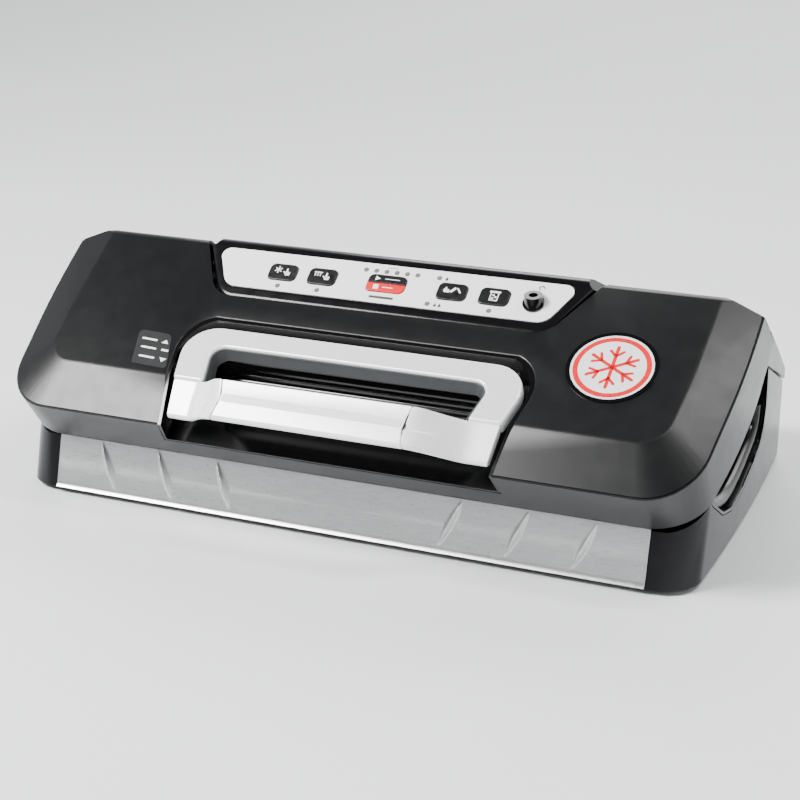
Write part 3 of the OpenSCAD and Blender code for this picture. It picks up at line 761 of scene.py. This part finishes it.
def make_grip_wing(side, word):
    start = SEAM_X + SEAM_GAP
    places = [start + (END_X - SEAM_X - SEAM_GAP) * i / 20 for i in range(21)]
    places += [102.0, 107.0, 110.6, SIDE_X]
    wing = loft_x("grip_wing_" + word, [(side * x, grip_section(x)) for x in places])
    for v in wing.data.vertices:
        x = abs(v.co.x) / MM
        v.co.x += seam_shift(v, 1 - smooth((x - SEAM_X) / (END_X - SEAM_X)))
        if x > 108:
            v.co.x -= math.copysign(MM * (v.co.z / MM - 94) * -0.12, v.co.x)
    soften(wing, 0.5, 25, 3)
    finish_piece(wing, MATERIALS["silver_bright"], "handle")


def make_grip_seam_shade():
    """A black core inside the bar, so the seam gaps show dark: painted shade for the grooves."""
    middle_y = sum(p[0] for p in BAR) / len(BAR)
    middle_z = sum(p[1] for p in BAR) / len(BAR)
    core = [(middle_y + (y - middle_y) * 0.8, middle_z + (z - middle_z) * 0.8) for y, z in BAR]
    # Painted shade: the black core fills the seam gaps with dark colour where the grooves would be
    # in shadow.
    inner = soften(loft_x("grip_seam_shade", [(-SEAM_X - 0.9, core), (SEAM_X + 0.9, core)]), 0.3, 30, 2)
    finish_piece(inner, MATERIALS["rubber_black"], "handle")


def make_grip():
    make_grip_bar()
    for side, word in ((-1, "left"), (1, "right")):
        make_grip_wing(side, word)
    make_grip_seam_shade()
    band = [(BAR[1][0] - 0.25, BAR[1][1] + 0.1), (BAR[2][0] - 0.25, BAR[2][1] + 0.1),
        (BAR[2][0] + 0.5, BAR[2][1] - 0.6), (BAR[1][0] + 0.5, BAR[1][1] - 0.6)]
    strip = loft_x("grip_band", [(-SEAM_X + 1.4, band), (SEAM_X - 1.4, band)])
    soften(strip, 0.15, 30, 2)
    finish_piece(strip, MATERIALS["grip_band"], "handle")


make_handle_frame()
make_grip()


# ---- base -------------------------------------------------------------------------------
base_lo, base_hi = [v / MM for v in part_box("base_shell")]
BASE_HALF = base_hi.x
BASE_MID = 18.0
BASE_SIDE_R = 2400.0
BASE_CORNER = 26.0
SEAM_Y = 50.0
SEAM_END_Z = 48.3
LEAN = (-111 + 120.7) / (39 - 3.8)
HOLD = [(-84, 66), (-79, 48), (-50, 31), (-28, 26), (0, 28.5), (30, 34.8), (50, 41.5), (60, 50),
    (64.5, 64), (62, 95), (40, 110)]
HOLD_RADII = [0, 6, 20, 16, 24, 24, 18, 16, 12, 0, 0]
HOLD_IN = 216.0


def front_y(z):
    return -119.7 + LEAN * (z - 3.8)


def base_form(name, t, z0, z1):
    """The base's walls drawn in by t: upright sides, and a front that leans back."""
    bm = bmesh.new()
    rings = []
    for z in (z0, z1):
        ring = plan(BASE_HALF - t, BASE_MID, BASE_SIDE_R, front_y(z) + t, base_hi.y - t,
            BASE_CORNER - t, BASE_CORNER - t, 20, 14)
        rings.append([bm.verts.new((x, y, z)) for x, y in ring])
    low, high = rings
    bm.faces.new(list(reversed(low)))
    bm.faces.new(high)
    for i in range(len(low)):
        j = (i + 1) % len(low)
        bm.faces.new((low[i], low[j], high[j], high[i]))
    return new_object(name, bm)


def base_block(name):
    """The base's outside up to its rim, which drops a little below the lid's front corners."""
    block = base_form(name, 0, base_lo.z, 120)
    top = rim_z(-111)
    side = new_object(name + "_side", across_bm([(-200, 0), (-200, top - 3.6),
        (front_y(top), top - 3.6), (-82, rim_z(-82)), (SEAM_Y, rim_z(SEAM_Y)),
        (base_hi.y + 1, SEAM_END_Z), (base_hi.y + 1, 0)], -300, 300))
    return combine(block, [side], "INTERSECT")


def hold_tools(name, g, inner):
    outline = []
    for y, z in rounded(HOLD, HOLD_RADII):
        away = Vector((y, z - 60)).normalized() * g
        outline.append((y + away.x, z + away.y))
    return [new_object(name, across_bm(outline, min(a, b), max(a, b)))
        for a, b in ((inner, 280), (-280, -inner))]


def make_base():
    shell = base_block("base_body")
    hollow = base_form("hollow", 3, -1, 130)
    inlet = new_object("inlet", prism_bm([(-196, 147.5), (-172, 147.5), (-172, 160), (-196, 160)],
        14, 34))
    combine(shell, [hollow, inlet] + hold_tools("hold", 3.0, HOLD_IN - 2.2))
    soften(clean(shell), 0.9, 35, 3)
    finish_piece(shell, MATERIALS["base_black"], "base", ["base_shell"])


def make_deck():
    """The sealing deck, with its front corners kept inside the base's walls."""
    source = nodes["deck"]
    deck = bpy.data.objects.new("deck_trimmed", source.data.copy())
    bpy.context.collection.objects.link(deck)
    deck.matrix_world = source.matrix_world.copy()
    corners = [new_object("deck_corner", across_bm([(-130, 34), (-94, 34), (-94, 60), (-130, 60)],
        min(a, b), max(a, b))) for a, b in ((209, 260), (-260, -209))]
    combine(deck, [base_form("deck_room", 3.2, -1, 130)], "INTERSECT")
    combine(deck, corners)
    soften(clean(deck), 0.5, 32, 2)
    finish_piece(deck, MATERIALS["rubber_black"], "base", ["deck"])


def make_hand_cups():
    cups = base_block("hand_cup_liners")
    outer = hold_tools("outer", 2.2, HOLD_IN - 2.2)
    combine(outer[0], [outer[1]], "UNION")
    combine(cups, [outer[0]], "INTERSECT")
    combine(cups, hold_tools("inner", 0, HOLD_IN))
    soften(clean(cups), 0.8, 35, 3)
    finish_piece(cups, MATERIALS["gloss_black"], "base", ["hand_cups"])


def sweep(name, path, section):
    """A section of (side, up) points carried along a path of (point, side, up) frames."""
    return lofted(name, [[p + side * a + up * b for a, b in section] for p, side, up in path])


def make_hold_rails():
    """The rounded lip that the fingers close on, along the lower edge of each hand hold."""
    lower = spline([(-77, 52), (-70, 46.5), (-52, 38), (-28, 33.2), (0, 35.2), (30, 41.4),
        (46, 47.2), (54.5, 54), (57.5, 66)], 8)
    for side, word in ((-1, "left"), (1, "right")):
        path = []
        for i, (y, z) in enumerate(lower):
            back, ahead = lower[max(i - 1, 0)], lower[min(i + 1, len(lower) - 1)]
            along = Vector((0, ahead[0] - back[0], ahead[1] - back[1])).normalized()
            up = Vector((0, -along.z, along.y))
            squeeze = math.sqrt(min(1.0, 0.12 + 0.16 * i))
            path.append((Vector((side * 230.5, y, z)) - up * 0.6, Vector((side * squeeze, 0, 0)),
                up * squeeze))
        section = [(5.4 * math.cos(t), 5.0 * math.sin(t))
            for t in (math.tau * i / 32 for i in range(32))]
        rail = soften(sweep("hold_rail_" + word, path, section), 0.3, 60, 2)
        finish_piece(rail, MATERIALS["base_black"], "base")


make_base()
make_deck()
make_hand_cups()
make_hold_rails()


# ---- rear cover and console ---------------------------------------------------------------
PANEL_HIGH = 160.0
CREST_LIFT = 1.25
ROOF_LIFT = 2.0
ROOF_END_Y = 64.0
PLATE_HALF = (114.4, 130.6)
PLATE_H = 31.8


def panel_outline(g):
    return mirrored(rounded([(0, -PLATE_H / 2 - g), (PLATE_HALF[0] + g, -PLATE_H / 2 - g),
        (PLATE_HALF[1] + g, PLATE_H / 2 + g), (0, PLATE_H / 2 + g)], [0, 12, 6, 0]))


def console_form(name, g):
    """The console drawn in by g, under the sloping panel and the rounded crest."""
    column = new_object(name, prism_bm(console_outline(BODY_GAP + g), 60, 200))
    front = console_front_y(g)
    side = new_object("side", across_bm([(front, 104 + g), (front, panel_z(front) - g * 1.24),
        (PANEL_MID[0] + 20.5, PANEL_HIGH + CREST_LIFT - g * 1.2),
        (ROOF_END_Y, roof_z(ROOF_END_Y) + ROOF_LIFT - g * 1.2), (ROOF_END_Y, 96),
        (32 + g, 96), (32 + g, 104 + g)], -200, 200))
    face = mirrored([(0, PANEL_HIGH + 2), (130.2 - g * 0.4, PANEL_HIGH + 2),
        (142.6 - g * 0.4, 149.6), (160, 149.6), (160, 0), (0, 0)])
    ends = new_object("ends", prism_bm(face, -200, 200, None, Matrix.Rotation(math.pi / 2, 4, "X")))
    return combine(column, [side, ends], "INTERSECT")


def console_front_y(g):
    return -50 + BODY_GAP + g


def panel_z(y):
    return PANEL_MID[1] + math.tan(PANEL_ANGLE) * (y - PANEL_MID[0])


def round_console(obj):
    """Rounds the console's crest broadly, and the upper edge of its front."""
    bm = bmesh.new()
    bm.from_mesh(clean(obj).data)
    crest = [e for e in bm.edges if all(abs(v.co.z / MM - PANEL_HIGH - CREST_LIFT) < 0.3
        for v in e.verts) and e.calc_length() > 0.1]
    bmesh.ops.bevel(bm, geom=crest, offset=7.4 * MM, segments=8, profile=0.5, affect="EDGES",
        clamp_overlap=True)
    outline = console_outline(BODY_GAP)
    def on_edge(v):
        p = v.co / MM
        return near_outline(Vector((p.x, p.y)), outline, 0.3) and abs(panel_z(p.y) - p.z) < 0.6
    front = [e for e in bm.edges if all(on_edge(v) for v in e.verts)]
    bmesh.ops.bevel(bm, geom=front, offset=2.3 * MM, segments=4, profile=0.5, affect="EDGES",
        clamp_overlap=True)
    bm.to_mesh(obj.data)
    bm.free()
    return obj


def rear_form(name, g):
    shape = new_object(name, prism_bm(plan(BASE_HALF + 1.5 - g, BASE_MID, BASE_SIDE_R, 0,
        base_hi.y - g, 0, 30 - g, 20, 14), 0, 200))
    rear = base_hi.y
    side = new_object("side", across_bm([(44 + g, rim_z(SEAM_Y) - 3), (48.5 + g, 104.5),
        (48.5 + g, roof_z(48.5) - g), (138, 64.5 - g * 1.2), (rear - g, 52 - g), (rear - g, 8.3),
        (64, 8.3)], -300, 300))
    trough = new_object("trough", across_bm(circle_outline(11 + g, 72, HINGE), -300, 300))
    return combine(combine(shape, [side], "INTERSECT"), [trough])


def hinge_arm(x):
    arm = new_object("arm", across_bm(circle_outline(BARREL_R, 64, HINGE), x - 11.8, x + 11.8))
    tail = new_object("tail", across_bm([(44, 108), (48, 121), (58, 114), (58, 96), (48, 96)],
        x - 11.8, x + 11.8))
    limit = new_object("limit", across_bm([(0, 90), (0, 130), (43, 130), (48, 122.6),
        (100, roof_z(100)), (100, 90)], -300, 300))
    return combine(combine(arm, [tail], "UNION"), [limit], "INTERSECT")


def make_rear_cover():
    cover = rear_form("rear_cover_shell", 0)
    seam = new_object("seam", across_bm([(0, rim_z(SEAM_Y) + 0.6), (SEAM_Y, rim_z(SEAM_Y) + 0.6),
        (base_hi.y + 5, SEAM_END_Z + 0.4), (base_hi.y + 5, 300), (0, 300)], -300, 300))
    combine(cover, [seam], "INTERSECT")
    combine(cover, [round_console(console_form("console", 0)), hinge_arm(-HINGE_X),
        hinge_arm(HINGE_X)],
        "UNION")
    inside = rear_form("inside", 3)
    combine(inside, [new_object("keep", across_bm([(40, 80), (62, 80), (62, 125), (40, 125)],
        a, b)) for a, b in ((-202, -170), (170, 202))])
    opening = new_object("opening", prism_bm([(-112, -13.4), (112, -13.4), (112, 13.4),
        (-112, 13.4)], -30, 5, None, ON_PANEL))
    seat = new_object("seat", prism_bm(panel_outline(0.5), -1.6, 9, None, ON_PANEL))
    combine(cover, [inside, console_form("console_inside", 2.5), opening, seat])
    soften(clean(cover), 0.8, 35, 3)
    finish_piece(cover, MATERIALS["base_black"], "base", ["rear_cover"])


make_rear_cover()


# ---- control panel ------------------------------------------------------------------------
KEY_SIZE = (20.4, 13.4)
PAIR_SIZE = (27.2, 13.8)
KEY_TOP = 1.6
KEYS = {"key_left_outer": -76.0, "key_left_inner": -46.7, "key_right_inner": 46.7,
    "key_right_outer": 76.0}


def shapes_piece(name, outlines, matrix, z0, z1, material, body):
    """Several flat outlines raised together, as printed or moulded marks."""
    bm = bmesh.new()
    for outline in outlines:
        prism_bm(outline, z0, z1, bm, matrix)
    return finish_piece(new_object(name, bm), MATERIALS[material], body)


def shifted(outline, x, y):
    return [(a + x, b + y) for a, b in outline]


def turned(outline, angle, x=0.0, y=0.0):
    c, s = math.cos(angle), math.sin(angle)
    return [(a * c - b * s + x, a * s + b * c + y) for a, b in outline]


def hand_icon(x, y):
    """A pointing hand, from a few rounded strokes."""
    palm = shifted(box_outline(3.6, 2.8, 0.9), x + 0.5, y - 1.7)
    finger = capsule((x - 0.3, y - 1.2), (x - 0.3, y + 2.2), 0.6)
    thumb = capsule((x - 1.0, y - 1.6), (x - 2.2, y - 0.4), 0.5)
    knuckles = capsule((x + 0.5, y - 0.6), (x + 1.8, y - 0.8), 0.6)
    return [palm, finger, thumb, knuckles]


def star_icon(x, y, r, width, arms=3):
    return [turned(capsule((-r, 0), (r, 0), width), math.pi * i / arms + 0.5, x, y)
        for i in range(arms)]


def key_icons(name, x):
    y = -0.4
    if name == "key_left_outer":
        return star_icon(x - 3.6, y + 1.4, 2.5, 0.38) + hand_icon(x + 3.2, y + 0.4)
    if name == "key_left_inner":
        bars = [capsule((x - 6, y + 3), (x - 0.8, y + 3), 0.45)]
        bars += [capsule((x - 5.4 + 1.9 * i, y + 1.8), (x - 5.4 + 1.9 * i, y + 0.2), 0.36)
            for i in range(3)]
        return bars + hand_icon(x + 3.2, y + 0.4)
    if name == "key_right_inner":
        leaf = [turned(capsule((-1.6, 0), (1.6, 0), 0.9), 0.9, x + 0.6, y + 1.2)]
        leaf += [turned(capsule((-1.9, 0), (1.9, 0), 0.55), 2.2, x + 4.6, y + 1.2)]
        return [drop(x - 4.6, y + 0.2, 1.5), drop(x - 2.6, y - 0.4, 1.0)] + leaf
    walls = [capsule((x - 2.6, y - 3.4), (x + 2.6, y - 3.4), 0.35),
        capsule((x - 2.6, y - 3.4), (x - 2.6, y + 2.6), 0.35),
        capsule((x + 2.6, y - 3.4), (x + 2.6, y + 2.6), 0.35),
        capsule((x - 3.1, y + 3.4), (x + 3.1, y + 3.4), 0.75)]
    dots = [circle_outline(0.8, 20, (x + a, y + b))
        for a, b in ((-1, -1.8), (1, -0.6), (-0.7, 0.8))]
    return walls + dots


def make_key(name, outline, material):
    cap = new_object(name + "_cap", prism_bm(outline, -0.6, KEY_TOP, None, ON_PANEL))
    soften(cap, 0.45, 40, 3)
    finish_piece(cap, MATERIALS[material], name, [name])


def key_print(name, outlines, body):
    shapes_piece(name, outlines, ON_PANEL, KEY_TOP - 0.1, KEY_TOP + 0.06, "print_white", body)


def make_keys():
    for name, x in KEYS.items():
        make_key(name, shifted(box_outline(*KEY_SIZE, 4, 10), x, -0.4), "key_black")
        key_print(name + "_icon", key_icons(name, x), name)
    w, h = PAIR_SIZE
    block = shifted(box_outline(w, h, 4, 10), 0, -0.1)
    upper = [(-w / 2, 0.05), (w / 2, 0.05)] + [p for p in block if p[1] > 0]
    lower = [p for p in block if p[1] < 0] + [(w / 2, -0.25), (-w / 2, -0.25)]
    make_key("key_start", upper, "key_black")
    make_key("key_stop", lower, "red_plastic")
    key_print("start_icon", [[(-8.6, 1.5), (-4.8, 3.3), (-8.6, 5.1)],
        capsule((-1.5, 3.3), (8.5, 3.3), 0.3)], "key_start")
    key_print("stop_icon", [shifted(box_outline(3.8, 3.8, 0.2), -6.4, -3.6),
        capsule((-1.5, -3.6), (5.5, -3.6), 0.3)], "key_stop")


def make_panel_marks():
    lamps = [(-18 + 7.4 * i, 10.1) for i in range(6)]
    lamps += [(-76.2, -11.6), (-46.9, -11.6), (75.4, -11.6), (34.6, 9.9), (32.8, -11.9)]
    bm = bmesh.new()
    for at in lamps:
        prism_bm(circle_outline(1.75, 32, at), 0.3, 0.62, bm, ON_PANEL)
    rings = new_object("lamp_rings", bm)
    tools = bmesh.new()
    for at in lamps:
        prism_bm(circle_outline(1.4, 32, at), -1, 2, tools, ON_PANEL)
    combine(rings, [new_object("holes", tools)])
    finish_piece(rings, MATERIALS["print_grey"], "base")
    marks = [drop(39.8, 9.4, 1.0), drop(38.2, -12.6, 1.0), drop(41.4, -12.6, 1.0)]
    marks += [capsule((-3 + 1.5 * i, 13.4), (-2.6 + 1.5 * i, 13.4), 0.35) for i in range(5)]
    hook = [(104.2, 9.4), (103.2, 11.6), (105.6, 12.8), (107.2, 11.2)]
    marks += [capsule(a, b, 0.35) for a, b in zip(hook, hook[1:])]
    shapes_piece("panel_marks", marks, ON_PANEL, 0.4, 0.58, "print_grey", "base")


make_keys()
make_panel_marks()


# ---- badge and position label -------------------------------------------------------------
BADGE = (167.1, 54.5)


def make_badge():
    arms = []
    for i in range(6):
        turn = math.radians(60 * i + 30)
        strokes = [capsule((0, 0), (16.5, 0), 1.15), capsule((9, 0), (13.2, 4.2), 0.95),
            capsule((9, 0), (13.2, -4.2), 0.95)]
        arms += [turned(stroke, turn, *BADGE) for stroke in strokes]
    shapes_piece("badge_star", arms, ON_TOP, 0.3, 0.62, "badge_red", "lid")
    ring = new_object("badge_band", prism_bm(circle_outline(24.4, 128, BADGE), 0.3, 0.62, None,
        ON_TOP))
    combine(ring, [new_object("bore", prism_bm(circle_outline(21.2, 128, BADGE), -1, 2, None,
        ON_TOP))])
    finish_piece(ring, MATERIALS["badge_red"], "lid")


def make_label():
    marks = [[(-135.9, 25.6), (-130.5, 25.2), (-133.0, 28.6)],
        [(-133.0, 18.9), (-127.7, 18.5), (-127.7, 20.2), (-133.0, 20.6)],
        [(-131.2, 13.1), (-125.7, 12.7), (-128.4, 9.4)]]
    for x, y in ((-150.6, 27.8), (-148.2, 20.5), (-146.0, 12.6)):
        marks.append(capsule((x, y), (x + 10.5, y - 0.6), 0.75))
    shapes_piece("label_marks", marks, ON_TOP, 0.2, 0.46, "print_white", "lid")


make_badge()
make_label()


# ---- steel front plate --------------------------------------------------------------------
RIDGES = (80.3, 124.3, 168.0)
RIDGE_LEAN = 12.4
RIDGE_MID = 20.2
RIDGE_REACH = 14.6
RIDGE_HALF = 2.7
RIDGE_H = 3.3


def ridge_height(x, s):
    """Height of the pressed, leaf-shaped ridges at x and at s up the plate."""
    height = 0.0
    for centre in RIDGES:
        t = (s - RIDGE_MID) / RIDGE_REACH
        if abs(t) < 1:
            off = abs(x) - (centre + RIDGE_LEAN * 0.5 * t)
            half = RIDGE_HALF * (1 - t * t) + 0.25
            if abs(off) < half:
                height = RIDGE_H * (1 - t * t) ** 0.6 * (1 - abs(off) / half) ** 0.9
    return height


def make_front_plate():
    length = math.hypot(plate_hi.y - plate_lo.y - 1, plate_hi.z - plate_lo.z)
    up = Vector((0, plate_hi.y - plate_lo.y - 1, plate_hi.z - plate_lo.z)).normalized()
    out = Vector((0, -up.z, up.y))
    foot = Vector((0, plate_lo.y, plate_lo.z))
    columns = [plate_lo.x + (plate_hi.x - plate_lo.x) * i / 690 for i in range(691)]
    rows = [length * j / 36 for j in range(37)]
    bm = bmesh.new()
    grid = [[bm.verts.new(foot + up * s + Vector((x, 0, 0)) + out * (ridge_height(x, s)
        + 0.45 * max(0.0, 2.6 - s))) for s in rows] for x in columns]
    back = [[bm.verts.new(foot + up * s + Vector((x, 0, 0)) - out * 0.9)
        for s in (rows[0], rows[-1])] for x in (columns[0], columns[-1])]
    for a, b in zip(grid, grid[1:]):
        for j in range(len(rows) - 1):
            bm.faces.new((a[j], b[j], b[j + 1], a[j + 1]))
    left, right = grid[0], grid[-1]
    bm.faces.new([row[0] for row in reversed(grid)] + [back[0][0], back[1][0]])
    bm.faces.new([row[-1] for row in grid] + [back[1][1], back[0][1]])
    bm.faces.new(list(left) + [back[0][1], back[0][0]])
    bm.faces.new(list(reversed(right)) + [back[1][0], back[1][1]])
    bm.faces.new((back[0][0], back[0][1], back[1][1], back[1][0]))
    plate = new_object("front_plate_pressed", bm)
    soften(plate, 0.3, 60, 2)
    finish_piece(plate, MATERIALS["brushed_steel"], "base", ["front_plate"])


make_front_plate()


# ---- stage, camera and lights -------------------------------------------------------------
def make_stage():
    bpy.ops.mesh.primitive_plane_add(size=12, location=(0, 0, 0))
    floor = bpy.context.object
    floor.name = "floor"
    s = Shader("floor_pale", (0.8, 0.81, 0.82), 0.5)
    s.vary_roughness(s.noise(6, 3), 0.42, 0.58)
    floor.data.materials.append(s.material)


def make_camera():
    data = bpy.data.cameras.new("camera")
    camera = bpy.data.objects.new("camera", data)
    bpy.context.scene.collection.objects.link(camera)
    data.sensor_width = 36
    data.lens = 78.41
    data.clip_end = 50
    camera.location = (0.4397, -1.0492, 0.4646)
    aim = Vector((-0.36539, 0.86720, -0.33831))
    camera.rotation_euler = aim.to_track_quat("-Z", "Y").to_euler()
    bpy.context.scene.camera = camera


def area_light(name, place, target, size, power):
    data = bpy.data.lights.new(name, "AREA")
    data.shape = "RECTANGLE"
    data.size, data.size_y = size
    data.energy = power
    light = bpy.data.objects.new(name, data)
    bpy.context.scene.collection.objects.link(light)
    light.location = place
    light.rotation_euler = (Vector(target) - Vector(place)).to_track_quat("-Z", "Y").to_euler()


def make_sky():
    """A pale dome that darkens overhead, so that the sloping lid stays deep black."""
    world = bpy.data.worlds.new("studio")
    bpy.context.scene.world = world
    world.use_nodes = True
    tree = world.node_tree
    coords = tree.nodes.new("ShaderNodeTexCoord")
    split = tree.nodes.new("ShaderNodeSeparateXYZ")
    ramp = tree.nodes.new("ShaderNodeValToRGB")
    tree.links.new(coords.outputs["Generated"], split.inputs["Vector"])
    tree.links.new(split.outputs["Z"], ramp.inputs["Fac"])
    tree.links.new(ramp.outputs["Color"], tree.nodes["Background"].inputs["Color"])
    side = tree.nodes.new("ShaderNodeMapRange")
    side.inputs["From Min"].default_value = -1
    side.inputs["To Min"].default_value = 0.5
    side.inputs["To Max"].default_value = 2.3
    facing = tree.nodes.new("ShaderNodeVectorMath")
    facing.operation = "DOT_PRODUCT"
    facing.inputs[1].default_value = (0.8, 0.6, 0)
    tree.links.new(coords.outputs["Generated"], facing.inputs[0])
    tree.links.new(facing.outputs["Value"], side.inputs["Value"])
    tree.links.new(side.outputs["Result"], tree.nodes["Background"].inputs["Strength"])
    stops = ramp.color_ramp.elements
    stops[0].position = 0.0
    stops[0].color = (0.95, 0.97, 1.0, 1)
    stops[1].position = 0.9
    stops[1].color = (0.05, 0.052, 0.055, 1)
    for place, level in ((0.3, 0.85), (0.55, 0.4), (0.75, 0.1)):
        stop = stops.new(place)
        stop.color = (level, level * 1.01, level * 1.03, 1)


def make_lights():
    make_sky()
    area_light("key", (-1.15, -1.0, 1.5), (-0.1, -0.1, 0.1), (0.75, 0.8), 105)
    area_light("right_top", (0.8, 0.12, 1.9), (0.2, 0, 0.1), (0.3, 0.9), 18)
    area_light("back", (0.3, 3.2, 2.4), (0.2, 1.2, 0), (4.0, 1.6), 130)


make_stage()
make_camera()
make_lights()
